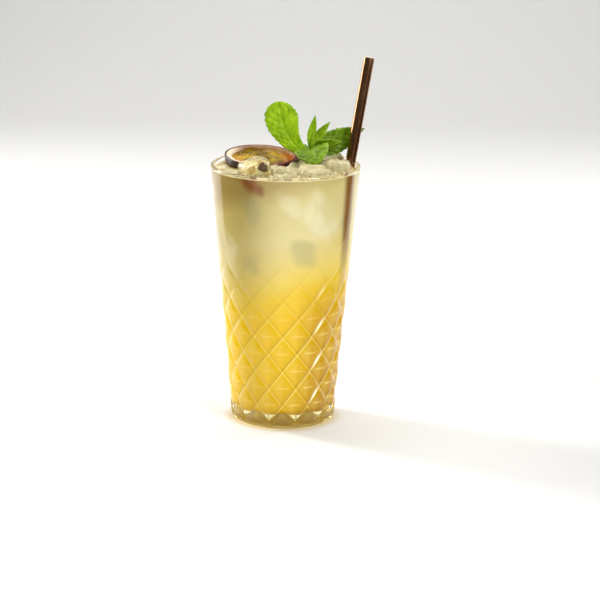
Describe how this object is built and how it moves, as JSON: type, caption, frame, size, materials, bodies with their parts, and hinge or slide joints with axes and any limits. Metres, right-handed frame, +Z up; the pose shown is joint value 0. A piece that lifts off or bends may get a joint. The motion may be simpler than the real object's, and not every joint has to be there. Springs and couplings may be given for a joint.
{
  "type": "mango passion fruit drink",
  "caption": "Tall tumbler pressed with a lattice of lozenges, filled with an iced cloudy fruit drink and topped with ice, half a passion fruit, mint and a straw.",
  "frame": {"origin": "centre of the glass foot's underside, on the surface it stands on", "axes": "+Z up along the glass axis; -Y is the front; the straw leans towards +X"},
  "size_m": [0.0929, 0.0858, 0.2104],
  "materials": {
    "glass": "clear pressed glass, polished",
    "drink": "cloudy mango and passion fruit juice, cream above and yellow below",
    "straw": "polished rose copper plated steel",
    "fruit_skin": "dark purple skin, slightly waxy",
    "fruit_pith": "pale pink pith",
    "fruit_pulp": "wet olive and orange pulp",
    "ice": "wet, slightly cloudy ice",
    "mint": "fresh green leaf, crinkled"
  },
  "bodies": {
    "root": {"glass": "glass", "straw": "straw", "drink": "drink", "fruit_skin": "fruit_skin", "fruit_pith": "fruit_pith", "fruit_pulp": "fruit_pulp", "mint_sprig": "mint", "ice_lump_1": "ice", "ice_lump_2": "ice", "ice_lump_3": "ice", "ice_lump_4": "ice", "ice_lump_5": "ice", "ice_lump_6": "ice", "ice_lump_7": "ice", "ice_lump_8": "ice", "ice_lump_9": "ice", "ice_lump_10": "ice", "ice_lump_11": "ice"}
  },
  "joints": []
}
